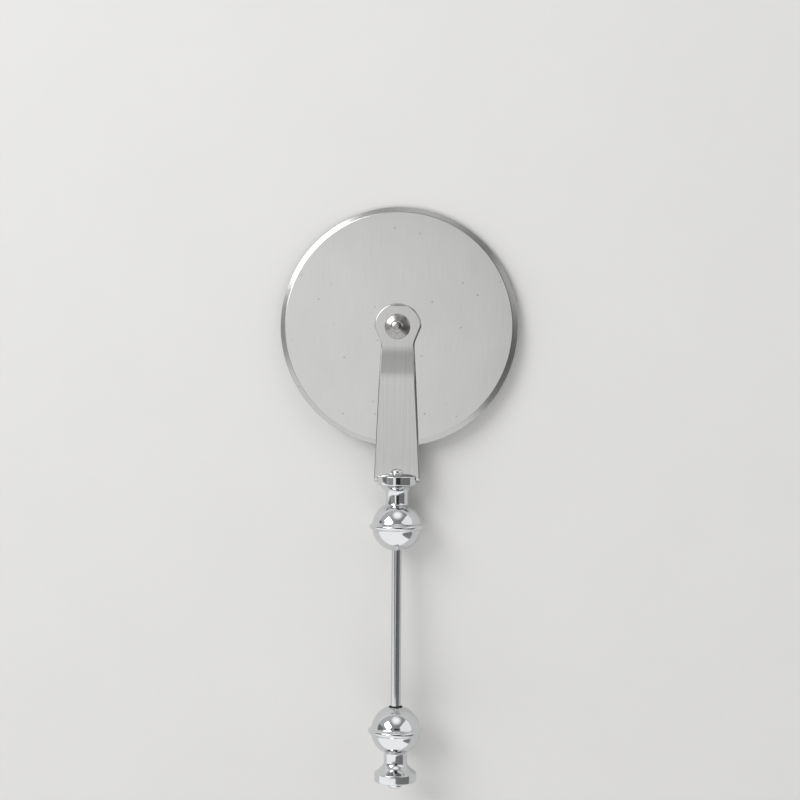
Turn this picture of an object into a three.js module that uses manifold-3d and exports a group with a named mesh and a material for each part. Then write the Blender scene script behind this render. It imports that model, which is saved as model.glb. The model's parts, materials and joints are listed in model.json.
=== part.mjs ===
// A small pizza cutter whose handle is a bare rod, on which its owner strings beads.
// Millimetres, +Z up. The cutter lies on its back as it would on a table, with the wheel towards +Y.
// Each piece is made in the cutter's own axes: the axle along Z through the origin, the handle along -Y.

import * as THREE from 'three';
import { mergeVertices } from 'three/addons/utils/BufferGeometryUtils.js';
import Module from 'manifold-3d';

const wasm = await Module();
wasm.setup();

// Cutting wheel
const wheelDiameter = 60;
const wheelThickness = 1;
const bevelWidth = 1.25;
const edgeThickness = 0.2;

// Axle pin and the dished washers under its peened ends
const pinDiameter = 2.5;
const pinHeadDiameter = 3.3;
const pinHeadHeight = 0.65;
const washerDiameter = 6.4;
const washerThickness = 0.35;
const washerDish = 0.45;

// Fork, one strip folded over at its root
const stripThickness = 0.65;
const stripWidth = 11.7;
const armNeckWidth = 8.2;
const armNeckFillet = 1;
const forkReach = 39;
const foldGap = 0.9;
const foldStraight = 3.8;
const setStart = 5.2;
const setEnd = 13.5;
const setDepth = 0.55;

// Both finials, from the mouth in the ball to the tip of the nub
const ballDiameter = 12.5;
const mouthDiameter = 4.2;
const ridgeDiameter = 13.9;
const ridgeBase = 3.2;
const ridgeRound = 0.35;
const neckFootDiameter = 6.3;
const neckFootFillet = 0.8;
const neckDiameter = 5.8;
const neckLength = 1.7;
const flareLength = 2.5;
const flareRise = 0.65;
const rimHeight = 2.35;
const rimRound = 0.3;
const crownHeight = 0.45;
const nubDiameter = 3.7;
const nubHeight = 1.55;
const nubRound = 1;
const nubFillet = 0.5;
const upperFlangeDiameter = 10;
const capFlangeDiameter = 10.6;
const slotDepth = 2.15;

// Bead rod, with a thread on the end that the cap screws on to
const rodDiameter = 2.5;
const beadLength = 39.6;
const rodInFinial = 8;
const threadLength = 8.1;
const threadTip = 0.9;
const tipChamfer = 0.4;

// Rubber stop ring, let into the cap's mouth
const ringDiameter = 3.4;
const ringThickness = 0.6;
const ringProud = 0.3;

// Clearances
const runningClearance = 0.06;
const eyeClearance = 0.12;
const seatGap = 0.05;
const slotClearance = 0.1;
const boreEndGap = 1;

// Facets
const wheelFacets = 96;
const finialFacets = 36;
const smallFacets = 32;
const arcSteps = 3;

// Heights above the middle of the wheel
const eyeInside = wheelThickness / 2 + eyeClearance;
const eyeOutside = eyeInside + stripThickness;
const armInside = eyeInside + setDepth;
const foldInside = foldGap / 2;
const foldOutside = foldInside + stripThickness;
const washerSeat = eyeOutside + seatGap;
const pinHeadSeat = washerSeat + washerThickness + washerDish + seatGap;
const pinReach = pinHeadSeat + pinHeadHeight;

// Distances along a finial from its mouth
const ridgeCentre = Math.sqrt(ballDiameter ** 2 - mouthDiameter ** 2) / 2;
const neckFoot = ridgeCentre + Math.sqrt(ballDiameter ** 2 - neckFootDiameter ** 2) / 2;
const neckStart = neckFoot + neckFootFillet;
const flareStart = neckStart + neckLength;
const rimStart = flareStart + flareLength;
const rimEnd = rimStart + rimHeight;
const crownTop = rimEnd + crownHeight;
const nubTop = crownTop + nubHeight;

// Distances along the handle from the axle
const slotFloor = forkReach + seatGap;
const upperMouth = slotFloor - slotDepth + crownTop;
const capMouth = upperMouth + beadLength;
const rodStart = upperMouth - rodInFinial;
const rodEnd = capMouth + threadLength + threadTip;
const upperBoreDepth = rodInFinial + boreEndGap;
const capBoreDepth = threadLength + threadTip + boreEndGap;
const ringSeat = ringThickness - ringProud;

function solidOf(geometry) {
  geometry.deleteAttribute('normal');
  geometry.deleteAttribute('uv');
  const merged = mergeVertices(geometry);
  const index = merged.index.array;
  const triangles = [];
  for (let i = 0; i < index.length; i += 3) {
    const corners = index.slice(i, i + 3);
    if (new Set(corners).size === 3) triangles.push(...corners);
  }
  const vertProperties = merged.attributes.position.array;
  const triVerts = new Uint32Array(triangles);
  return new wasm.Manifold(new wasm.Mesh({ numProp: 3, vertProperties, triVerts }));
}

function meshOf(name, solid, look) {
  const { vertProperties, triVerts } = solid.getMesh();
  const geometry = new THREE.BufferGeometry();
  geometry.setAttribute('position', new THREE.BufferAttribute(vertProperties, 3));
  geometry.setIndex(new THREE.BufferAttribute(triVerts, 1));
  geometry.computeVertexNormals();
  const mesh = new THREE.Mesh(geometry, new THREE.MeshStandardMaterial(look));
  mesh.name = name;
  return mesh;
}

// A profile of radius and height, turned about Y
function turned(profile, facets) {
  return new THREE.LatheGeometry(profile.getPoints(arcSteps), facets);
}

// The same, with its axis laid along the axle
function turnedAlongAxle(profile, facets) {
  return turned(profile, facets).rotateX(Math.PI / 2);
}

// An outline of (y, z), extruded across the cutter
function extrudedAcross(shape, width) {
  const geometry = new THREE.ExtrudeGeometry(shape, {
    depth: width,
    bevelEnabled: false,
    curveSegments: arcSteps * 2,
  });
  geometry.translate(0, 0, -width / 2);
  const across = new THREE.Vector3(1, 0, 0);
  const along = new THREE.Vector3(0, 1, 0);
  const up = new THREE.Vector3(0, 0, 1);
  return geometry.applyMatrix4(new THREE.Matrix4().makeBasis(along, up, across));
}

function cuttingWheel() {
  const bore = pinDiameter / 2 + runningClearance;
  const rim = wheelDiameter / 2;
  const face = rim - bevelWidth;
  const profile = new THREE.Path();
  profile.moveTo(bore, -wheelThickness / 2);
  profile.lineTo(face, -wheelThickness / 2);
  profile.lineTo(rim, -edgeThickness / 2);
  profile.lineTo(rim, edgeThickness / 2);
  profile.lineTo(face, wheelThickness / 2);
  profile.lineTo(bore, wheelThickness / 2);
  profile.lineTo(bore, -wheelThickness / 2);
  return solidOf(turnedAlongAxle(profile, wheelFacets));
}

function axlePin() {
  const shank = pinDiameter / 2;
  const head = pinHeadDiameter / 2;
  const profile = new THREE.Path();
  profile.moveTo(0, -pinReach);
  profile.absellipse(0, -pinHeadSeat, head, pinHeadHeight, -Math.PI / 2, 0);
  profile.lineTo(shank, -pinHeadSeat);
  profile.lineTo(shank, pinHeadSeat);
  profile.lineTo(head, pinHeadSeat);
  profile.absellipse(0, pinHeadSeat, head, pinHeadHeight, 0, Math.PI / 2);
  return solidOf(turnedAlongAxle(profile, smallFacets));
}

// A washer that stands on its outer edge and rises to its hole
function dishedWasher() {
  const hole = pinDiameter / 2 + runningClearance;
  const edge = washerDiameter / 2;
  const profile = new THREE.Path();
  profile.moveTo(hole, washerSeat + washerDish);
  profile.lineTo(edge - washerThickness, washerSeat);
  profile.lineTo(edge, washerSeat);
  profile.lineTo(edge, washerSeat + washerThickness / 2);
  profile.lineTo(edge - washerThickness / 2, washerSeat + washerThickness);
  profile.lineTo(pinHeadDiameter / 2, washerSeat + washerThickness + washerDish);
  profile.lineTo(hole, washerSeat + washerThickness + washerDish);
  profile.lineTo(hole, washerSeat + washerDish);
  return solidOf(turnedAlongAxle(profile, smallFacets));
}

// One side of one arm in the side view, drawn from its eye to the fold or back
function armSide(shape, side, fromInside, toFold) {
  const eye = side * (eyeInside + fromInside);
  const arm = side * (armInside + fromInside);
  const fold = side * (foldInside + fromInside);
  const setMiddle = -(setStart + setEnd) / 2;
  const foldStart = foldStraight - forkReach;
  if (toFold) {
    shape.lineTo(-setStart, eye);
    shape.bezierCurveTo(setMiddle, eye, setMiddle, arm, -setEnd, arm);
    shape.lineTo(foldStart, fold);
    shape.lineTo(foldOutside - forkReach, fold);
  } else {
    shape.lineTo(foldStart, fold);
    shape.lineTo(-setEnd, arm);
    shape.bezierCurveTo(setMiddle, arm, setMiddle, eye, -setStart, eye);
    shape.lineTo(stripWidth / 2, eye);
  }
}

// The folded strip seen from the side, as (y, z)
function forkSideView() {
  const tip = stripWidth / 2;
  const foldCentre = foldOutside - forkReach;
  const shape = new THREE.Shape();
  shape.moveTo(tip, eyeOutside);
  armSide(shape, 1, stripThickness, true);
  shape.absarc(foldCentre, 0, foldOutside, Math.PI / 2, Math.PI * 1.5, false);
  armSide(shape, -1, stripThickness, false);
  shape.lineTo(tip, -eyeInside);
  armSide(shape, -1, 0, true);
  shape.absarc(foldCentre, 0, foldInside, Math.PI * 1.5, Math.PI / 2, true);
  armSide(shape, 1, 0, false);
  shape.lineTo(tip, eyeOutside);
  return shape;
}

// The strip's outline seen from the front, as (x, y): each arm narrows from the root to its neck,
// then widens on straight shoulders to an eye with a round top
function forkFrontView() {
  const eye = stripWidth / 2;
  const neck = armNeckWidth / 2;
  const root = new THREE.Vector2(eye, -forkReach);
  const corner = new THREE.Vector2(neck, -Math.sqrt(eye ** 2 - neck ** 2));
  const shoulder = new THREE.Vector2(eye, 0);
  const below = root.clone().sub(corner).setLength(armNeckFillet).add(corner);
  const above = shoulder.clone().sub(corner).setLength(armNeckFillet).add(corner);

  const shape = new THREE.Shape();
  shape.moveTo(-root.x, root.y);
  shape.lineTo(root.x, root.y);
  shape.lineTo(below.x, below.y);
  shape.quadraticCurveTo(corner.x, corner.y, above.x, above.y);
  shape.lineTo(shoulder.x, shoulder.y);
  shape.absarc(0, 0, eye, 0, Math.PI, false);
  shape.lineTo(-above.x, above.y);
  shape.quadraticCurveTo(-corner.x, corner.y, -below.x, below.y);
  return shape;
}

function fork() {
  const stock = 4 * (eyeOutside + setDepth);
  const folded = solidOf(extrudedAcross(forkSideView(), 2 * stripWidth));
  const front = new THREE.ExtrudeGeometry(forkFrontView(), {
    depth: stock,
    bevelEnabled: false,
    curveSegments: smallFacets / 2,
  });
  const hole = pinDiameter / 2 + runningClearance;
  const drill = new THREE.CylinderGeometry(hole, hole, stock, smallFacets).rotateX(Math.PI / 2);
  return folded.intersect(solidOf(front.translate(0, 0, -stock / 2))).subtract(solidOf(drill));
}

// Both finials: a ball with a raised ridge round it, a neck, a flange and a nub.
// The bore runs up from the mouth, which may be let in for the stop ring.
function finial(flangeDiameter, boreDepth, mouthRecess, mouthRecessDiameter) {
  const bore = rodDiameter / 2 + runningClearance;
  const recess = mouthRecessDiameter / 2;
  const ball = ballDiameter / 2;
  const neck = neckDiameter / 2;
  const rim = flangeDiameter / 2;
  const nub = nubDiameter / 2;
  const ridgeAngle = Math.asin(ridgeBase / ballDiameter);
  const ridgeFoot = ball * Math.cos(ridgeAngle);
  const tipCentre = ridgeDiameter / 2 - ridgeRound;
  const tipTurn = Math.PI / 3;
  const tipOut = tipCentre + ridgeRound * Math.cos(tipTurn);
  const tipUp = ridgeRound * Math.sin(tipTurn);
  const flankUp = tipUp + (tipOut - ball) / Math.tan(tipTurn);
  const quarter = Math.PI / 2;
  const flareTurn = Math.atan(flareRise) - quarter;
  const flareOut = rim - rimRound + rimRound * Math.cos(flareTurn);
  const flareEnd = rimStart + rimRound + rimRound * Math.sin(flareTurn);

  const profile = new THREE.Path();
  profile.moveTo(0, boreDepth);
  profile.lineTo(bore, boreDepth);
  profile.lineTo(bore, mouthRecess);
  profile.lineTo(recess, mouthRecess);
  profile.lineTo(recess, 0);
  profile.absarc(0, ridgeCentre, ball, -Math.acos(mouthDiameter / ballDiameter), -ridgeAngle, false);
  profile.quadraticCurveTo(ball, ridgeCentre - flankUp, tipOut, ridgeCentre - tipUp);
  profile.absarc(tipCentre, ridgeCentre, ridgeRound, -tipTurn, tipTurn, false);
  profile.quadraticCurveTo(ball, ridgeCentre + flankUp, ridgeFoot, ridgeCentre + ridgeBase / 2);
  profile.absarc(0, ridgeCentre, ball, ridgeAngle, Math.acos(neckFootDiameter / ballDiameter), false);
  profile.quadraticCurveTo(neck, neckFoot, neck, neckStart);
  profile.lineTo(neck, flareStart);
  profile.quadraticCurveTo(neck, flareEnd - flareRise * (flareOut - neck), flareOut, flareEnd);
  profile.absarc(rim - rimRound, rimStart + rimRound, rimRound, flareTurn, 0, false);
  profile.absarc(rim - rimRound, rimEnd - rimRound, rimRound, 0, quarter, false);
  profile.quadraticCurveTo((rim + nub) / 2, crownTop, nub + nubFillet, crownTop);
  profile.quadraticCurveTo(nub, crownTop, nub, crownTop + nubFillet);
  profile.lineTo(nub, nubTop - nubRound);
  profile.absellipse(0, nubTop - nubRound, nub, nubRound, 0, quarter, false);
  return turned(profile, finialFacets);
}

// The upper finial points its flange at the wheel, with a slot across it for the fork's fold
function upperFinial() {
  const body = finial(upperFlangeDiameter, upperBoreDepth, 0, mouthDiameter);
  body.translate(0, -upperMouth, 0);
  const slotHalf = foldOutside + slotClearance;
  const slotMouth = slotDepth + 2 * nubHeight - slotFloor;
  const slot = new THREE.Shape();
  slot.moveTo(slotMouth, -slotHalf);
  slot.lineTo(slotMouth, slotHalf);
  slot.absarc(slotHalf - slotFloor, 0, slotHalf, Math.PI / 2, Math.PI * 1.5, false);
  return solidOf(body).subtract(solidOf(extrudedAcross(slot, 2 * upperFlangeDiameter)));
}

function endCap() {
  const recessDiameter = ringDiameter + 2 * seatGap;
  const body = finial(capFlangeDiameter, capBoreDepth, ringSeat + seatGap, recessDiameter);
  return solidOf(body.rotateX(Math.PI).translate(0, -capMouth, 0));
}

function beadRod() {
  const radius = rodDiameter / 2;
  const profile = new THREE.Path();
  profile.moveTo(0, -rodEnd);
  profile.lineTo(radius - tipChamfer, -rodEnd);
  profile.lineTo(radius, tipChamfer - rodEnd);
  profile.lineTo(radius, -rodStart);
  profile.lineTo(0, -rodStart);
  return solidOf(turned(profile, smallFacets));
}

function stopRing() {
  const hole = rodDiameter / 2 + runningClearance;
  const middle = (ringDiameter / 2 + hole) / 2;
  const profile = new THREE.Path();
  profile.absellipse(middle, -capMouth + ringProud - ringThickness / 2,
    ringDiameter / 2 - middle, ringThickness / 2, 0, Math.PI * 2, false);
  return solidOf(turned(profile, smallFacets));
}

const bladeSteel = { color: 0xc8c9c8, roughness: 0.22, metalness: 1 };
const stripSteel = { color: 0xbdbdbb, roughness: 0.34, metalness: 1 };
const rivetSteel = { color: 0xb2b1ae, roughness: 0.3, metalness: 1 };
const rodSteel = { color: 0xc4c6c8, roughness: 0.15, metalness: 1 };
const chrome = { color: 0xd6d8d9, roughness: 0.06, metalness: 1 };
const blackRubber = { color: 0x151515, roughness: 0.7, metalness: 0 };

const cutter = new THREE.Group();
const rearWasher = dishedWasher().rotate([0, 180, 0]);
cutter.add(
  meshOf('cutting_wheel', cuttingWheel(), bladeSteel),
  meshOf('fork', fork(), stripSteel),
  meshOf('axle_pin', axlePin(), rivetSteel),
  meshOf('front_washer', dishedWasher(), rivetSteel),
  meshOf('rear_washer', rearWasher, rivetSteel),
  meshOf('upper_finial', upperFinial(), chrome),
  meshOf('bead_rod', beadRod(), rodSteel),
  meshOf('stop_ring', stopRing(), blackRubber),
  meshOf('end_cap', endCap(), chrome),
);

// At rest the ridge of the upper ball touches the table, and so does the wheel's face or the axle pin
const ridgeFromAxle = upperMouth - ridgeCentre;
const wheelFaceEdge = wheelDiameter / 2 - bevelWidth;
const tiltOnPin = Math.atan((ridgeDiameter / 2 - pinReach) / ridgeFromAxle);
const tiltOnWheel = Math.atan((ridgeDiameter - wheelThickness) / 2 / (ridgeFromAxle + wheelFaceEdge));
cutter.rotation.x = -Math.min(tiltOnPin, tiltOnWheel);
const outer = new THREE.Box3().setFromObject(cutter, true);
const middle = outer.getCenter(new THREE.Vector3());
cutter.position.set(-middle.x, -middle.y, -outer.min.z);

const pizzaCutter = new THREE.Group();
pizzaCutter.add(cutter);

export default pizzaCutter;
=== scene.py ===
"""A small pizza cutter whose handle is a bare rod for beads, lying on a pale table.

Each piece is drawn in the cutter's own axes, in millimetres: the axle along Z through the origin and
the handle along -Y. The frame's joints say where those axes lie, and its nodes give the main sizes.
"""

import json
from math import acos, asin, atan, cos, degrees, pi, radians, sin, sqrt

import bmesh
import bpy
import numpy as np
from mathutils import Euler, Matrix, Vector


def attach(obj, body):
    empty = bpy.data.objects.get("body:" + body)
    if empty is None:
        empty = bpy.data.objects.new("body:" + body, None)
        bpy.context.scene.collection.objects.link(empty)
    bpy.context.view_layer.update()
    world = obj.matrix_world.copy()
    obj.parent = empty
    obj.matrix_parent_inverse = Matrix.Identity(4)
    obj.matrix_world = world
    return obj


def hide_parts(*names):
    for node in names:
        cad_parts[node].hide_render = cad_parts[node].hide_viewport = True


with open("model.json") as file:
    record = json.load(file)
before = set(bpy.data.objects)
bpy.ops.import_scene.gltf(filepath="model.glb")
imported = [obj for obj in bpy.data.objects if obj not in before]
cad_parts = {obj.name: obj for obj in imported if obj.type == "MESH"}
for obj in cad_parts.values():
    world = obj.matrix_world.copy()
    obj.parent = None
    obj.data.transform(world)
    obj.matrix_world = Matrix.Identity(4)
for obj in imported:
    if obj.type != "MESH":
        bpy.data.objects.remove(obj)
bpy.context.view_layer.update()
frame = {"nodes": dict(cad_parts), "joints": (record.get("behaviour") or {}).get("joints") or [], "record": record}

MM = 0.001
scene = bpy.context.scene

# The cutter's own axes, from the joints

joints = {joint["name"]: joint for joint in frame["joints"]}
hub = Vector(joints["wheel_spin"]["pos_m"])
axle = Vector(joints["wheel_spin"]["axis"])
handle = Vector(joints["cap_turn"]["axis"])
own_turn = Matrix((axle.cross(handle), -handle, axle)).transposed()
own_axes = Matrix.Translation(hub) @ own_turn.to_4x4()


def extent(node):
    """The lowest and highest corner of a node, in millimetres and in the cutter's own axes."""
    inverse = own_axes.inverted()
    points = np.array([inverse @ vertex.co for vertex in frame["nodes"][node].data.vertices]) / MM
    return Vector(points.min(axis=0)), Vector(points.max(axis=0))


# Sizes from the frame

_, wheel_high = extent("cutting_wheel")
fork_low, fork_high = extent("fork")
_, pin_high = extent("axle_pin")
washer_low, washer_high = extent("front_washer")
finial_low, finial_high = extent("upper_finial")
rod_low, rod_high = extent("bead_rod")
ring_low, ring_high = extent("stop_ring")
_, cap_high = extent("end_cap")

wheel_radius = wheel_high.x
wheel_half = wheel_high.z
strip_half_width = fork_high.x
fork_reach = -fork_low.y
arm_outside = fork_high.z
pin_reach = pin_high.z
pin_head_radius = pin_high.x
washer_radius = washer_high.x
washer_seat = washer_low.z
washer_top = washer_high.z
ridge_radius = finial_high.x
upper_mouth = -finial_low.y
rod_radius = rod_high.x
rod_start = -rod_high.y
rod_end = -rod_low.y
ring_radius = ring_high.x
ring_start = -ring_high.y
ring_end = -ring_low.y
cap_mouth = -cap_high.y

# Sizes of the wheel, the pin and its washers, in millimetres and degrees

bevel_width = 1.25
edge_half = 0.1
edge_turn = 70
bevel_round = 0.1
bore_clearance = 0.06
bore_chamfer = 0.06
pin_radius = 1.25
pin_head_height = 0.65
head_squareness = 2.5
washer_thickness = 0.35
washer_round = 0.12
axle_hole = pin_radius + bore_clearance

# Sizes of the folded strip

strip_thickness = 0.65
strip_edge_round = 0.26
neck_half_width = 4.1
neck_fillet = 1.0
fold_half_gap = 0.45
fold_straight = 3.8
set_start = 5.0
set_end = 13.2
set_depth = 0.55
set_round = 2.6
fold_centre = fold_half_gap + strip_thickness - fork_reach

# Sizes of the finials, from the mouth in the ball to the nub

ball_radius = 6.25
mouth_radius = 2.1
ridge_base = 2.8
ridge_round = 0.75
ridge_turn = radians(74)
neck_foot_radius = 3.15
neck_foot_fillet = 0.8
neck_radius = 2.9
neck_length = 1.7
flare_length = 2.5
flare_rise = 0.65
rim_height = 2.35
rim_round = 0.3
crown_height = 0.45
nub_radius = 1.85
nub_height = 1.55
nub_round = 1.0
nub_fillet = 0.5
upper_flange_radius = 5.0
cap_flange_radius = 5.3
slot_clearance = 0.1
slot_floor_gap = 0.05
ring_seat_gap = 0.05
bore_end_gap = 1.0
plating_round = 0.1
rod_hole = rod_radius + bore_clearance

# Sizes of the rod's ends and its thread; the shares are of half a turn of the thread

top_chamfer_depth = 0.1
top_chamfer_length = 0.15
tip_chamfer = 0.4
tip_length = 0.5
thread_pitch = 0.45
thread_depth = 0.24
thread_length = 8.1
thread_play = 0.02
thread_root_share = 7 / 32
thread_crest_share = 5 / 32

# Fineness of the meshes: facets round an axis, steps along a line, and lengths of steps

wheel_facets = 256
finial_facets = 144
small_facets = 96
rod_facets = 64
bevel_steps = 4
edge_steps = 5
head_steps = 24
eye_steps = 30
shoulder_steps = 4
neck_steps = 12
arm_steps = 60
fold_steps = 30
fold_path_steps = 40
ball_steps = 60
slot_steps = 24
ring_steps = 32
tip_rings = 5
rings_per_turn = 14
rod_step = 4.0
path_step = 0.05
soften_step = 0.02
longest_step = 0.9
turn_step = radians(4)
crease_angle = radians(35)
least_radius = 1e-6


# Lines and profiles

def ellipse_arc(centre, radii, start, end, steps=16):
    """Points on an ellipse from one angle to another, in degrees."""
    angles = np.radians(np.linspace(start, end, steps + 1))
    return [(centre[0] + radii[0] * cos(a), centre[1] + radii[1] * sin(a)) for a in angles]


def corner_curve(start, corner, end, steps=16):
    """Points on a curve from start to end, tangent to the lines from each to the corner."""
    start, corner, end = np.array(start), np.array(corner), np.array(end)
    shares = np.linspace(0, 1, steps + 1)
    return [tuple((1 - t) ** 2 * start + 2 * t * (1 - t) * corner + t ** 2 * end) for t in shares]


def mirrored(half):
    """The other half of a profile, from its far end back to the middle."""
    return [(radius, -along) for radius, along in reversed(half)]


def distances(line):
    """The distance along a line at each of its points."""
    return np.concatenate([[0], np.cumsum(np.hypot(*np.diff(line, axis=0).T))])


def headings(line):
    """The angle of each stretch of a line, without jumps."""
    steps = np.diff(line, axis=0)
    return np.unwrap(np.arctan2(steps[:, 1], steps[:, 0]))


def even_points(line, step):
    """The line at even distances along it."""
    line = np.array(line, float)
    run = distances(line)
    even = np.linspace(0, run[-1], int(run[-1] / step) + 1)
    return np.stack([np.interp(even, run, line[:, k]) for k in (0, 1)], axis=1)


def thinned(line):
    """A dense line with points left out where it is straight."""
    turning = np.concatenate([[0], np.cumsum(np.abs(np.diff(headings(line))))])
    mark = np.floor(turning / turn_step + distances(line)[1:] / longest_step)
    kept = np.flatnonzero(np.diff(mark) > 0) + 1
    return [tuple(line[i]) for i in [0, *kept, len(line) - 1]]


def smoothed(line, reach):
    """A line with its corners rounded off over the given reach, as close points."""
    dense = even_points(line, soften_step)
    count = round(reach / soften_step)
    before = 2 * dense[0] - dense[count:0:-1]
    after = 2 * dense[-1] - dense[-2:-count - 2:-1]
    window = np.hanning(2 * count + 3)[1:-1]
    padded = np.concatenate([before, dense, after])
    smooth = [np.convolve(padded[:, k], window / window.sum(), "valid") for k in (0, 1)]
    return np.stack(smooth, axis=1)


def softened(line, reach):
    """A profile with its corners rounded off, as plating leaves them."""
    return thinned(smoothed(line, reach))


# Meshes

def add_face(mesh, corners):
    """A face between corners, some of which may be the same one."""
    mesh.faces.new(list(dict.fromkeys(corners)))


def add_ring_faces(mesh, first, second):
    """Joins two rings of vertices, either of which may be a single point."""
    count = max(len(first), len(second))
    for i in range(count):
        j = (i + 1) % count
        start = [first[i % len(first)], first[j % len(first)]]
        end = [second[j % len(second)], second[i % len(second)]]
        add_face(mesh, start + end)


def turned(profile, facets, about_axle=False):
    """A mesh turned from (radius, distance along the axis), about the handle or the axle."""
    mesh = bmesh.new()
    closed = profile[0] == profile[-1]
    rings = []
    for radius, along in profile[:-1] if closed else profile:
        ring = []
        for i in range(facets if radius > least_radius else 1):
            a = 2 * pi * i / facets
            across = (radius * sin(a), radius * cos(a))
            place = (*across, along) if about_axle else (across[0], along, across[1])
            ring.append(mesh.verts.new(Vector(place) * MM))
        rings.append(ring)
    for first, second in zip(rings, rings[1:] + rings[:1] if closed else rings[1:]):
        add_ring_faces(mesh, first, second)
    return mesh


def solid(name, mesh):
    """An object made of a mesh in the cutter's own axes."""
    bmesh.ops.recalc_face_normals(mesh, faces=mesh.faces)
    data = bpy.data.meshes.new(name)
    mesh.to_mesh(data)
    mesh.free()
    made = bpy.data.objects.new(name, data)
    scene.collection.objects.link(made)
    made.matrix_world = own_axes
    return made


def cut(piece, tool):
    """Takes the tool's volume out of the piece."""
    modifier = piece.modifiers.new("cut", "BOOLEAN")
    modifier.operation = "DIFFERENCE"
    modifier.solver = "EXACT"
    modifier.object = tool
    bpy.context.view_layer.update()
    evaluated = piece.evaluated_get(bpy.context.evaluated_depsgraph_get())
    data = bpy.data.meshes.new_from_object(evaluated)
    piece.modifiers.clear()
    piece.data = data
    bpy.data.objects.remove(tool)


def dress(piece, body, node, slot, flat_faces=False):
    """Gives a piece its shading, its finish, the body it rides on and the node it stands for."""
    piece.data.shade_smooth()
    piece.data.set_sharp_from_angle(angle=crease_angle)
    if flat_faces:
        modifier = piece.modifiers.new("flat_faces", "WEIGHTED_NORMAL")
        modifier.keep_sharp = True
    piece.data.materials.clear()
    piece.data.materials.append(finishes[slot])
    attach(piece, body)
    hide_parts(node)


# Finishes

record_colours = {entry["slot"]: entry["base_color"] for entry in frame["record"]["materials"]}


class Nodes:
    """A node tree that is built by name."""

    def __init__(self, owner):
        owner.use_nodes = True
        self.tree = owner.node_tree

    def add(self, kind, inputs=None, **settings):
        """A node with its settings, and with its inputs set to values or linked to sockets."""
        made = self.tree.nodes.new(kind)
        for name, value in settings.items():
            setattr(made, name, value)
        for key, value in (inputs or {}).items():
            if isinstance(value, bpy.types.NodeSocket):
                self.tree.links.new(value, made.inputs[key])
            else:
                made.inputs[key].default_value = value
        return made

    def spread(self, socket, low, high, start=0.3, end=0.7):
        """A value that goes from low to high as the socket goes from start to end."""
        ranged = self.add(
            "ShaderNodeMapRange",
            {"Value": socket, "From Min": start, "From Max": end, "To Min": low, "To Max": high},
        )
        return ranged.outputs["Result"]

    def math(self, operation, first, second=0.0):
        """The result of a sum of two values or sockets."""
        return self.add("ShaderNodeMath", {0: first, 1: second}, operation=operation).outputs[0]

    def mix(self, factor, first, second):
        """A value between two others, by the factor."""
        inputs = {"Factor": factor, "A": first, "B": second}
        return self.add("ShaderNodeMix", inputs).outputs["Result"]


class Finish(Nodes):
    """A material whose detail is built from the piece's own coordinates."""

    def __init__(self, name, colour, metallic, roughness):
        self.material = bpy.data.materials.new(name)
        super().__init__(self.material)
        self.colour = colour
        self.shader = self.tree.nodes["Principled BSDF"]
        self.shader.inputs["Base Color"].default_value = (*colour, 1)
        self.shader.inputs["Metallic"].default_value = metallic
        self.shader.inputs["Roughness"].default_value = roughness
        self.place = self.add("ShaderNodeTexCoord").outputs["Object"]

    def set(self, name, socket):
        """Links a socket to one of the shader's inputs."""
        self.tree.links.new(socket, self.shader.inputs[name])

    def noise(self, sizes, detail=3.0, roughness=0.55):
        """Noise whose grains have the given sizes along X, Y and Z, in millimetres."""
        scales = [1 / (size * MM) if size else 0 for size in sizes]
        stretched = self.add("ShaderNodeMapping", {"Vector": self.place, "Scale": scales})
        grain = self.add(
            "ShaderNodeTexNoise",
            {"Vector": stretched.outputs[0], "Scale": 1.0, "Detail": detail, "Roughness": roughness},
        )
        return grain.outputs["Fac"]

    def tint(self, factor, first, second):
        """Sets the colour between two shares of the finish's own one, by the factor."""
        mix = self.add("ShaderNodeMix", data_type="RGBA")
        self.tree.links.new(factor, mix.inputs["Factor"])
        for name, share in (("A", first), ("B", second)):
            mix.inputs[name].default_value = (*[share * part for part in self.colour], 1)
        self.set("Base Color", mix.outputs["Result"])

    def relief(self, height, depth, below=None):
        """Bumps of the given depth in millimetres, on top of the relief below."""
        inputs = {"Height": height, "Distance": depth * MM}
        if below is not None:
            inputs["Normal"] = below
        return self.add("ShaderNodeBump", inputs).outputs["Normal"]

    def specks(self, spacing, size, dimensions="3D", core=0.6, fading=0.7):
        """1 in small scattered specks, 0 elsewhere; spacing and size in millimetres.

        Each speck is full within its core, as a share of its size. The given share of them is fainter.
        """
        inputs = {"Vector": self.place, "Scale": 1 / (spacing * MM)}
        cells = self.add("ShaderNodeTexVoronoi", inputs, voronoi_dimensions=dimensions).outputs
        dots = self.spread(cells["Distance"], 1.0, 0.0, core * size / spacing, size / spacing)
        chance = self.add("ShaderNodeSeparateColor", {"Color": cells["Color"]}).outputs["Red"]
        return self.math("MULTIPLY", dots, self.spread(chance, 0.0, 1.0, start=0.0, end=fading))


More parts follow.
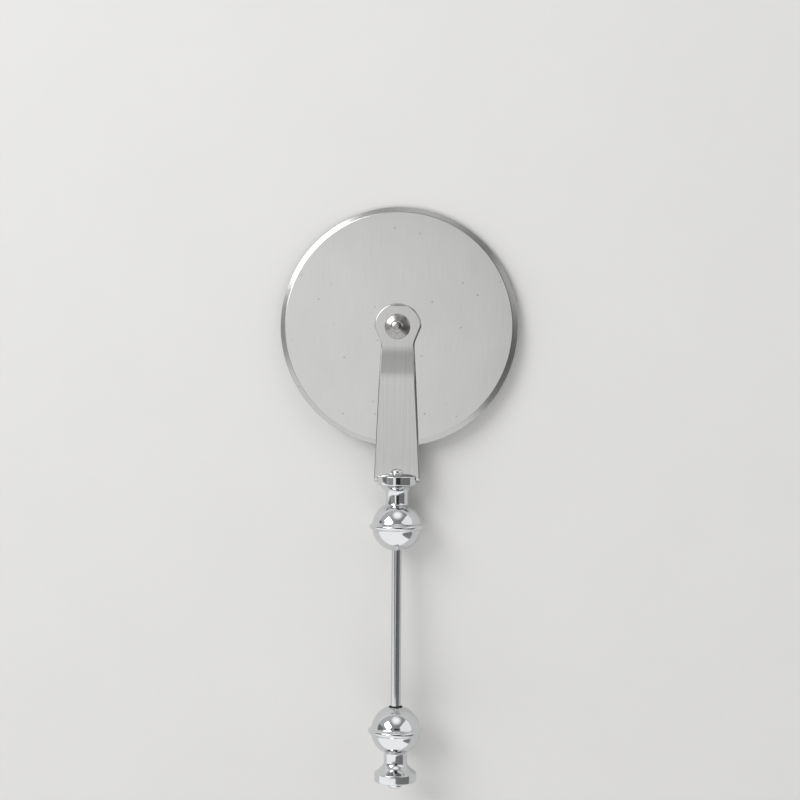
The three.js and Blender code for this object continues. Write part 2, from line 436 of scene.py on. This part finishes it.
def blade_steel():
    """Satin polished sheet with a ground bevel, whose marks run round the wheel."""
    ring_spacing = 0.06
    speck_share = 0.35
    bevel_share = 0.22
    finish = Finish("blade_steel", record_colours["blade_steel"], metallic=1.0, roughness=0.15)
    rolled = finish.noise(sizes=(0.12, 9.0, 9.0))
    cloud = finish.noise(sizes=(14.0, 20.0, 20.0), detail=4.0)
    specks = finish.specks(spacing=10.0, size=0.26, dimensions="2D")
    separate = finish.add("ShaderNodeSeparateXYZ", {0: finish.place})
    squares = [finish.math("POWER", separate.outputs[k], 2.0) for k in ("X", "Y")]
    radius = finish.math("SQRT", finish.math("ADD", *squares))
    on_bevel = finish.math("GREATER_THAN", radius, (wheel_radius - bevel_width) * MM)
    round_marks = {"W": radius, "Scale": 1 / (ring_spacing * MM)}
    rings = finish.add("ShaderNodeTexNoise", round_marks, noise_dimensions="1D").outputs["Fac"]

    face = finish.spread(cloud, low=0.97, high=1.03)
    dark_specks = finish.math("MULTIPLY", specks, speck_share)
    dark_bevel = finish.math("MULTIPLY", on_bevel, bevel_share)
    level = finish.math("SUBTRACT", face, finish.math("ADD", dark_specks, dark_bevel))
    finish.tint(finish.spread(level, 0.0, 1.0, start=0.6, end=1.05), first=0.62, second=1.0)
    satin = finish.spread(rolled, low=0.13, high=0.17)
    ground = finish.spread(rings, low=0.16, high=0.3)
    finish.set("Roughness", finish.mix(on_bevel, satin, ground))
    finish.set("Normal", finish.relief(finish.mix(on_bevel, rolled, rings), depth=0.0008))
    return finish.material


def strip_steel():
    """Steel strip brushed along its length, with a few longer scratches."""
    broad_share = 0.7
    finish = Finish("strip_steel", record_colours["strip_steel"], metallic=1.0, roughness=0.22)
    brushed = finish.noise(sizes=(0.1, 7.0, 0.0))
    broad = finish.noise(sizes=(0.45, 30.0, 0.0), detail=2.0)
    specks = finish.specks(spacing=6.0, size=0.16, dimensions="2D")
    streaks = finish.math("ADD", brushed, finish.math("MULTIPLY", broad, broad_share))
    tone = finish.math("SUBTRACT", streaks, specks)
    finish.tint(finish.spread(tone, 0.0, 1.0, start=0.4, end=1.1), first=0.9, second=1.06)
    finish.set("Roughness", finish.spread(brushed, low=0.13, high=0.19))
    finish.set("Normal", finish.relief(brushed, depth=0.0015))
    return finish.material


def rivet_steel():
    """Bright steel, dulled in patches and dented by the peening."""
    finish = Finish("rivet_steel", record_colours["rivet_steel"], metallic=1.0, roughness=0.2)
    dents = finish.noise(sizes=(1.1, 1.1, 1.1), detail=1.0)
    dull = finish.noise(sizes=(0.8, 0.8, 0.8))
    finish.tint(finish.spread(dull, 0.0, 1.0), first=0.68, second=0.92)
    finish.set("Roughness", finish.spread(dull, low=0.19, high=0.27))
    finish.set("Normal", finish.relief(dents, depth=0.009))
    return finish.material


def chrome():
    """Bright plate over a cast body: a slight swell in the reflections, faint smears and fine pits."""
    finish = Finish("chrome", record_colours["chrome"], metallic=1.0, roughness=0.05)
    swell = finish.noise(sizes=(2.6, 2.6, 2.6), detail=1.0)
    smears = finish.noise(sizes=(1.6, 3.5, 1.6), detail=4.0)
    pits = finish.specks(spacing=1.9, size=0.07)
    finish.tint(pits, first=1.0, second=0.4)
    finish.set("Roughness", finish.spread(smears, low=0.03, high=0.08))
    swollen = finish.relief(swell, depth=0.03)
    finish.set("Normal", finish.relief(pits, depth=-0.01, below=swollen))
    return finish.material


def rod_steel():
    """Polished drawn rod, with fine marks along it."""
    finish = Finish("rod_steel", record_colours["rod_steel"], metallic=1.0, roughness=0.12)
    drawn = finish.noise(sizes=(0.12, 14.0, 0.12))
    finish.tint(finish.spread(drawn, 0.0, 1.0), first=0.9, second=1.06)
    finish.set("Roughness", finish.spread(drawn, low=0.08, high=0.17))
    finish.set("Normal", finish.relief(drawn, depth=0.002))
    return finish.material


def black_rubber():
    """Matt rubber with a fine moulded grain."""
    finish = Finish("black_rubber", record_colours["black_rubber"], metallic=0.0, roughness=0.62)
    grain = finish.noise(sizes=(0.12, 0.12, 0.12))
    finish.tint(grain, first=0.7, second=1.6)
    finish.set("Roughness", finish.spread(grain, low=0.52, high=0.72))
    finish.set("Normal", finish.relief(grain, depth=0.012))
    return finish.material


makers = (blade_steel, strip_steel, rivet_steel, chrome, rod_steel, black_rubber)
finishes = {make.__name__: make() for make in makers}


# Cutting wheel

def cutting_wheel():
    """A disc with a ground edge on both sides."""
    face = wheel_radius - bevel_width
    bevel_drop = wheel_half - edge_half
    edge = (edge_half, edge_half)
    half = [
        (axle_hole, 0),
        (axle_hole, wheel_half - bore_chamfer),
        (axle_hole + bore_chamfer, wheel_half),
        *corner_curve(
            (face - bevel_round, wheel_half),
            (face, wheel_half),
            (face + bevel_round, wheel_half - bevel_drop * bevel_round / bevel_width),
            bevel_steps,
        ),
        *ellipse_arc((wheel_radius - edge_half, 0), edge, edge_turn, 0, edge_steps),
    ]
    profile = half + mirrored(half)[1:]
    return solid("ground_wheel", turned(profile, wheel_facets, about_axle=True))


# Axle pin and washers

def axle_pin():
    """A shank with a peened head at each end, flattened a little on top."""
    seat = pin_reach - pin_head_height
    power = 2 / head_squareness
    head = []
    for a in np.radians(np.linspace(0, 90, head_steps + 1)):
        head.append((pin_head_radius * cos(a) ** power, seat + pin_head_height * sin(a) ** power))
    head[-1] = (0.0, pin_reach)
    half = [(pin_radius, 0), (pin_radius, seat), *head]
    profile = mirrored(half) + half[1:]
    return solid("peened_pin", turned(profile, small_facets, about_axle=True))


def dished_washer(name, side):
    """A washer that stands on its outer edge and rises as a cone to the pin's head."""
    half = washer_thickness / 2
    profile = [
        (axle_hole, washer_top),
        (axle_hole, washer_top - washer_thickness),
        (washer_radius - washer_thickness, washer_seat),
        (washer_radius, washer_seat),
        (washer_radius, washer_seat + half),
        (washer_radius - half, washer_seat + washer_thickness),
        (pin_head_radius, washer_top),
        (axle_hole, washer_top),
    ]
    placed = [(radius, side * along) for radius, along in softened(profile, washer_round)]
    return solid(name, turned(placed, small_facets, about_axle=True))


# Folded strip

def strip_path():
    """The middle of the strip seen from the side, from the tip of the front eye to the rear one.

    Gives the distance along it, y, z and the heading at each of its points.
    """
    middle = strip_thickness / 2
    eye = arm_outside - set_depth - middle
    arm = arm_outside - middle
    fold = fold_half_gap + middle
    bends = [
        (strip_half_width, eye),
        (-set_start, eye),
        (-set_end, arm),
        (fold_straight - fork_reach, fold),
        (fold_centre, fold),
    ]
    front = [tuple(point) for point in smoothed(bends, set_round)]
    turn = ellipse_arc((fold_centre, 0), (fold, fold), 90, 270, fold_path_steps)
    rear = [(y, -z) for y, z in reversed(front)]
    line = even_points(front + turn[1:-1] + rear, path_step)
    heading = headings(line)
    heading = np.append(heading, heading[-1])
    return distances(line), line[:, 0], line[:, 1], heading


def strip_edge():
    """Half the strip's front outline as (half width, y), from the tip of the eye to the fold."""
    eye = strip_half_width
    neck_y = -sqrt(eye ** 2 - neck_half_width ** 2)
    corner = Vector((neck_half_width, neck_y))
    root = Vector((eye, -fork_reach))
    shoulder = Vector((eye, 0))
    above = corner + (shoulder - corner).normalized() * neck_fillet
    below = corner + (root - corner).normalized() * neck_fillet
    shoulder_shares = np.linspace(0, 1, shoulder_steps + 1)[1:-1]
    arm_shares = np.linspace(0, 1, arm_steps + 1)[1:]
    edge = ellipse_arc((0, 0), (eye, eye), 90, 0, eye_steps)
    edge += [tuple(shoulder.lerp(above, t)) for t in shoulder_shares]
    edge += corner_curve(above, corner, below, neck_steps)
    edge += [tuple(below.lerp(root, t)) for t in arm_shares]
    return edge


def strip_outline(run, path_y):
    """The strip laid flat as (x, distance along it), down its right side and back up its left."""
    edge = strip_edge()
    widths, heights = np.array(edge).T
    front = slice(len(run) // 2)
    straight = []
    for width, y in edge:
        if y > fold_centre:
            straight.append((width, np.interp(-y, -path_y[front], run[front])))
    fold_start = straight[-1][1]
    around = []
    for t in np.linspace(fold_start, run[-1] - fold_start, fold_steps + 1)[1:-1]:
        around.append((np.interp(-np.interp(t, run, path_y), -heights, widths), t))
    right = straight + around + [(width, run[-1] - t) for width, t in reversed(straight)]
    left = [(-width, t) for width, t in reversed(right[1:-1])]
    return np.array(right + left)


def rolled_edge():
    """The strip's edge in section as (inset, height), from one face to the other."""
    radii = (strip_edge_round, strip_edge_round)
    roll = ellipse_arc((0, strip_thickness / 2 - strip_edge_round), radii, 90, 0, edge_steps)
    rows = [(strip_edge_round - out, height) for out, height in roll]
    return rows + [(inset, -height) for inset, height in reversed(rows)]


def folded_strip():
    """One strip folded in two, with rolled edges and a hole through both eyes."""
    run, path_y, path_z, heading = strip_path()
    outline = strip_outline(run, path_y)
    ahead = np.roll(outline, -1, axis=0) - np.roll(outline, 1, axis=0)
    outward = np.stack([ahead[:, 1], -ahead[:, 0]], axis=1)
    outward /= np.linalg.norm(outward, axis=1)[:, None]

    mesh = bmesh.new()
    rings = []
    for inset, height in rolled_edge():
        ring = []
        for x, t in outline - outward * inset:
            turn = np.interp(t, run, heading)
            y = np.interp(t, run, path_y) + height * sin(turn)
            z = np.interp(t, run, path_z) - height * cos(turn)
            ring.append(mesh.verts.new(Vector((x, y, z)) * MM))
        rings.append(ring)
    for first, second in zip(rings, rings[1:]):
        add_ring_faces(mesh, first, second)
    count = len(outline)
    for face in (rings[0], rings[-1]):
        for i in range(count // 2):
            right = [face[i], face[i + 1]]
            left = [face[(count - i - 1) % count], face[(count - i) % count]]
            add_face(mesh, right + left)

    strip = solid("folded_strip", mesh)
    reach = 2 * arm_outside
    shaft = [(0, -reach), (axle_hole, -reach), (axle_hole, reach), (0, reach)]
    cut(strip, solid("drill", turned(shaft, small_facets, about_axle=True)))
    return strip


# Finials

def ridged_ball(centre):
    """The ball's outline from the mouth to the neck, with the ridge round its middle."""
    foot_turn = asin(ridge_base / 2 / ball_radius)
    foot_out = ball_radius * cos(foot_turn)
    foot_up = ball_radius * sin(foot_turn)
    tip_centre = ridge_radius - ridge_round
    tip_out = tip_centre + ridge_round * cos(ridge_turn)
    tip_up = ridge_round * sin(ridge_turn)
    tangents = [(cos(turn), sin(turn)) for turn in (foot_turn, ridge_turn)]
    offsets = (ball_radius, ridge_round + tip_centre * cos(ridge_turn))
    flank_out, flank_up = np.linalg.solve(tangents, offsets)
    foot_angle = degrees(foot_turn)
    tip_angle = degrees(ridge_turn)
    mouth_angle = degrees(acos(mouth_radius / ball_radius))
    neck_angle = degrees(acos(neck_foot_radius / ball_radius))
    ball = (ball_radius, ball_radius)
    tip = (ridge_round, ridge_round)
    return [
        *ellipse_arc((0, centre), ball, -mouth_angle, -foot_angle, ball_steps),
        *corner_curve(
            (foot_out, centre - foot_up),
            (flank_out, centre - flank_up),
            (tip_out, centre - tip_up),
        ),
        *ellipse_arc((tip_centre, centre), tip, -tip_angle, tip_angle),
        *corner_curve(
            (tip_out, centre + tip_up),
            (flank_out, centre + flank_up),
            (foot_out, centre + foot_up),
        ),
        *ellipse_arc((0, centre), ball, foot_angle, neck_angle, ball_steps),
    ]


def flanged_neck(centre, flange_radius):
    """The outline from the ball's neck over the flange to the tip of the nub."""
    neck_foot = centre + sqrt(ball_radius ** 2 - neck_foot_radius ** 2)
    neck_start = neck_foot + neck_foot_fillet
    flare_start = neck_start + neck_length
    rim_start = flare_start + flare_length
    rim_end = rim_start + rim_height
    crown_top = rim_end + crown_height
    nub_top = crown_top + nub_height
    rim = flange_radius - rim_round
    rim_corner = (rim_round, rim_round)
    flare_turn = atan(flare_rise) - pi / 2
    flare_out = rim + rim_round * cos(flare_turn)
    flare_end = rim_start + rim_round + rim_round * sin(flare_turn)
    outline = [
        *corner_curve(
            (neck_foot_radius, neck_foot),
            (neck_radius, neck_foot),
            (neck_radius, neck_start),
        ),
        *corner_curve(
            (neck_radius, flare_start),
            (neck_radius, flare_end - flare_rise * (flare_out - neck_radius)),
            (flare_out, flare_end),
        ),
        *ellipse_arc((rim, rim_start + rim_round), rim_corner, degrees(flare_turn), 0),
        *ellipse_arc((rim, rim_end - rim_round), rim_corner, 0, 90),
        *corner_curve(
            (rim, rim_end),
            ((flange_radius + nub_radius) / 2, crown_top),
            (nub_radius + nub_fillet, crown_top),
        ),
        *corner_curve(
            (nub_radius + nub_fillet, crown_top),
            (nub_radius, crown_top),
            (nub_radius, crown_top + nub_fillet),
        ),
        *ellipse_arc((0, nub_top - nub_round), (nub_radius, nub_round), 0, 90),
    ]
    outline[-1] = (0.0, nub_top)
    return outline


def finial_profile(flange_radius, bore_depth, recess_depth, recess_radius):
    """Both finials, from the bottom of the bore out at the mouth and over the ball to the nub."""
    ball_centre = sqrt(ball_radius ** 2 - mouth_radius ** 2)
    inside = [
        (0, bore_depth),
        (rod_hole, bore_depth),
        (rod_hole, recess_depth),
        (recess_radius, recess_depth),
    ]
    mouth = (recess_radius, 0)
    outside = ridged_ball(ball_centre) + flanged_neck(ball_centre, flange_radius)
    return inside + softened([mouth, *outside], plating_round)


def upper_finial():
    """Points its flange at the wheel, with a slot across it that takes the strip's fold."""
    bore_depth = upper_mouth - rod_start + bore_end_gap
    profile = finial_profile(upper_flange_radius, bore_depth, 0.0, mouth_radius)
    placed = [(radius, along - upper_mouth) for radius, along in profile]
    finial = solid("slotted_finial", turned(placed, finial_facets))
    slot_half = fold_half_gap + strip_thickness + slot_clearance
    slot_floor = -fork_reach - slot_floor_gap
    slot_top = 2 * fold_straight - fork_reach
    floor_round = (slot_half, slot_half)
    outline = [
        (slot_top, slot_half),
        *ellipse_arc((slot_floor + slot_half, 0), floor_round, 90, 270, slot_steps),
        (slot_top, -slot_half),
    ]
    mesh = bmesh.new()
    sides = []
    for x in (-ridge_radius, ridge_radius):
        sides.append([mesh.verts.new(Vector((x, y, z)) * MM) for y, z in outline])
    add_ring_faces(mesh, *sides)
    for side in sides:
        mesh.faces.new(side)
    cut(finial, solid("slot_tool", mesh))
    return finial


def end_cap():
    """The same fitting turned round, with its mouth let in for the stop ring."""
    bore_depth = rod_end - cap_mouth + bore_end_gap
    recess_depth = ring_end - cap_mouth + ring_seat_gap
    recess_radius = ring_radius + ring_seat_gap
    profile = finial_profile(cap_flange_radius, bore_depth, recess_depth, recess_radius)
    placed = [(radius, -along - cap_mouth) for radius, along in profile]
    return solid("screw_cap", turned(placed, finial_facets))


# Bead rod and stop ring

def thread_radius(distance, angle):
    """The rod's radius in the thread, at a distance from its start and an angle round it."""
    share = (distance / thread_pitch + angle / (2 * pi)) % 1
    flank_share = 1 - thread_root_share - thread_crest_share
    flank = min(max((abs(2 * share - 1) - thread_root_share) / flank_share, 0), 1)
    run_in = min(max(distance / thread_pitch, 0), 1)
    return rod_radius - run_in * (thread_play + thread_depth * (1 - flank))


def bead_rod():
    """A plain rod with a screw thread on the end that the cap covers."""
    length = rod_end - rod_start
    plain_length = cap_mouth - rod_start
    plain = [0, top_chamfer_length, *np.arange(rod_step, plain_length, rod_step)]
    thread_rings = np.arange(0, thread_length * rings_per_turn / thread_pitch)
    threaded = plain_length + thread_rings * thread_pitch / rings_per_turn
    tip = length - np.linspace(tip_length, 0, tip_rings)
    mesh = bmesh.new()
    rings = [[mesh.verts.new(Vector((0, -rod_start, 0)) * MM)]]
    for along in [*plain, *threaded, *tip]:
        distance = along - plain_length
        chamfer = max(0, along - (length - tip_chamfer))
        if along == 0:
            chamfer = top_chamfer_depth
        ring = []
        for i in range(rod_facets):
            a = 2 * pi * i / rod_facets
            radius = thread_radius(distance, a) if distance > 0 else rod_radius
            radius = min(radius, rod_radius - chamfer)
            place = Vector((radius * sin(a), -rod_start - along, radius * cos(a)))
            ring.append(mesh.verts.new(place * MM))
        rings.append(ring)
    rings.append([mesh.verts.new(Vector((0, -rod_end, 0)) * MM)])
    for first, second in zip(rings, rings[1:]):
        add_ring_faces(mesh, first, second)
    return solid("threaded_rod", mesh)


def stop_ring():
    """A rubber ring, round in section."""
    middle = ((ring_radius + rod_hole) / 2, -(ring_start + ring_end) / 2)
    section = ((ring_radius - rod_hole) / 2, (ring_end - ring_start) / 2)
    profile = ellipse_arc(middle, section, 0, 360, ring_steps)
    profile[-1] = profile[0]
    return solid("rubber_ring", turned(profile, small_facets))


dress(cutting_wheel(), "wheel", "cutting_wheel", "blade_steel", flat_faces=True)
dress(folded_strip(), "handle", "fork", "strip_steel", flat_faces=True)
dress(axle_pin(), "handle", "axle_pin", "rivet_steel")
dress(dished_washer("front_dish", 1), "handle", "front_washer", "rivet_steel")
dress(dished_washer("rear_dish", -1), "handle", "rear_washer", "rivet_steel")
dress(upper_finial(), "handle", "upper_finial", "chrome")
dress(bead_rod(), "handle", "bead_rod", "rod_steel")
dress(stop_ring(), "ring", "stop_ring", "black_rubber")
dress(end_cap(), "cap", "end_cap", "chrome")


# The table, in metres

table_half = 12.0
table_drop = 0.00005
table_colour = (0.78, 0.775, 0.765)

# The room that the metal mirrors: a pale foot and grey walls, by the sine of the height, and the
# share of brightness that the right side keeps

foot_level = 0.8
foot_top = (0.02, 0.07)
wall_level = 0.55
ceiling_level = 0.32
ceiling_foot = (0.3, 0.9)
right_share = 0.35
room_blur = 0.03

# A white wall on the near side: degrees from straight up, and where it ends as seen in the picture

near_level = 1.15
near_top = 6.5
near_right_end = -45.0

# Openings down to the table: both ends as seen in the picture and the top from straight up, in degrees

left_opening = {"start": 158, "end": 184, "top": 55}
left_opening_level = 0.2
right_opening = {"start": 9, "end": 48, "top": 36}
right_opening_level = 1.05

# Patches on the ceiling: degrees from straight up

dark_ceiling = {"left": 0.5, "right": 28, "near": -near_top, "far": 25}
dark_ceiling_level = 0.04
dark_gap = {"left": -40, "right": 40, "near": -near_top, "far": -2.6}
dark_gap_level = 0.1

# The patch that the flat steel mirrors, with its brightness at the left and the right

overhead = {"left": -16, "right": -0.5, "near": -5.5, "far": 13.2}
overhead_levels = (1.22, 0.86)

# A soft glow on the far side: degrees in the picture and from straight up, and cosines of its reach

glow_turn = 82.0
glow_lean = 62.0
glow_level = 0.8
glow_reach = (0.92, 0.99)

# The key light: degrees in the picture and from straight up, and metres

key_turn = 136.0
key_lean = 44.0
key_distance = 0.8
key_size = (0.36, 0.5)
key_level = 4.4

# The camera in the cutter's own axes, in millimetres and degrees

camera_place = (55.0, -13.18, 415.84)
camera_turn = (-0.659, 7.46, 0.381)
focal_length = 75.21
sensor_width = 36.0


def add_table():
    """A pale tabletop with a faint mottle."""
    mesh = bmesh.new()
    corners = []
    for x, y in [(-1, -1), (1, -1), (1, 1), (-1, 1)]:
        corners.append(mesh.verts.new((x * table_half, y * table_half, -table_drop)))
    mesh.faces.new(corners)
    data = bpy.data.meshes.new("tabletop")
    mesh.to_mesh(data)
    mesh.free()
    table = bpy.data.objects.new("tabletop", data)
    scene.collection.objects.link(table)
    finish = Finish("tabletop", table_colour, metallic=0.0, roughness=0.7)
    mottle = finish.noise(sizes=(30.0, 30.0, 30.0), detail=5.0)
    finish.tint(mottle, first=0.98, second=1.02)
    data.materials.append(finish.material)


def towards(turn, lean):
    """The direction at an angle in the picture and an angle from straight up, in degrees."""
    lean, turn = radians(lean), radians(turn)
    return Vector((sin(lean) * cos(turn), sin(lean) * sin(turn), cos(lean)))


def add_key():
    """A large soft light on the left that faces the cutter."""
    light = bpy.data.lights.new("key", "AREA")
    light.shape = "RECTANGLE"
    light.size, light.size_y = key_size
    light.energy = key_level * pi * light.size * light.size_y
    key = bpy.data.objects.new("key", light)
    scene.collection.objects.link(key)
    key.location = towards(key_turn, key_lean) * key_distance
    key.rotation_euler = (radians(key_lean), 0, radians(key_turn + 90))
    key.visible_camera = False


class Room(Nodes):
    """A world whose brightness is painted by direction."""

    def __init__(self, world):
        super().__init__(world)
        self.direction = self.add("ShaderNodeTexCoord").outputs["Generated"]
        parts = self.add("ShaderNodeSeparateXYZ", {0: self.direction}).outputs
        self.right = parts["X"]
        self.up = parts["Z"]

    def along(self, vector):
        """The cosine of the angle to a vector."""
        inputs = {0: self.direction, 1: vector}
        return self.add("ShaderNodeVectorMath", inputs, operation="DOT_PRODUCT").outputs["Value"]

    def beyond(self, *edges):
        """1 in front of all the planes that the given vectors stand on, 0 behind any."""
        inside = 1.0
        for edge in edges:
            front = self.spread(self.along(edge), 0.0, 1.0, start=0.0, end=room_blur)
            inside = self.math("MULTIPLY", inside, front)
        return inside

    def within(self, left, right, near, far):
        """1 between four angles from straight up, in degrees."""
        across = towards(0, 90 + left), towards(180, 90 - right)
        return self.beyond(*across, towards(90, 90 + near), towards(270, 90 - far))

    def opening(self, start, end, top):
        """1 between two angles in the picture and below an angle from straight up, in degrees."""
        sides = towards(start + 90, 90), towards(end - 90, 90)
        return self.beyond(*sides, towards((start + end) / 2, 90 + top))


def light_room():
    """A room for the metal to mirror."""
    scene.world = bpy.data.worlds.new("room")
    room = Room(scene.world)
    wall = room.spread(room.up, wall_level, ceiling_level, *ceiling_foot)
    side = room.spread(room.right, 1.0, right_share, start=0.0, end=1.0)
    glow = room.spread(room.along(towards(glow_turn, glow_lean)), 0.0, glow_level, *glow_reach)
    level = room.math("ADD", room.math("MULTIPLY", wall, side), glow)
    near = room.beyond(towards(270, 90 + near_top), towards(near_right_end - 90, 90))
    level = room.mix(near, level, near_level)
    level = room.mix(room.opening(**left_opening), level, left_opening_level)
    level = room.mix(room.opening(**right_opening), level, right_opening_level)
    level = room.mix(room.within(**dark_ceiling), level, dark_ceiling_level)
    level = room.mix(room.within(**dark_gap), level, dark_gap_level)
    ends = [sin(radians(overhead[end])) for end in ("left", "right")]
    sheen = room.spread(room.right, *overhead_levels, *ends)
    level = room.mix(room.within(**overhead), level, sheen)
    foot = room.spread(room.up, foot_level, 0.0, *foot_top)
    level = room.math("MAXIMUM", foot, level)
    room.tree.links.new(level, room.tree.nodes["Background"].inputs["Color"])


def add_camera():
    """Above the wheel, looking down along the axle."""
    data = bpy.data.cameras.new("camera")
    data.sensor_width = sensor_width
    data.lens = focal_length
    camera = bpy.data.objects.new("camera", data)
    scene.collection.objects.link(camera)
    turn = Euler([radians(part) for part in camera_turn], "XYZ")
    camera.matrix_world = own_axes @ Matrix.LocRotScale(Vector(camera_place) * MM, turn, None)
    scene.camera = camera


add_table()
add_key()
light_room()
add_camera()
scene.view_settings.view_transform = "Standard"
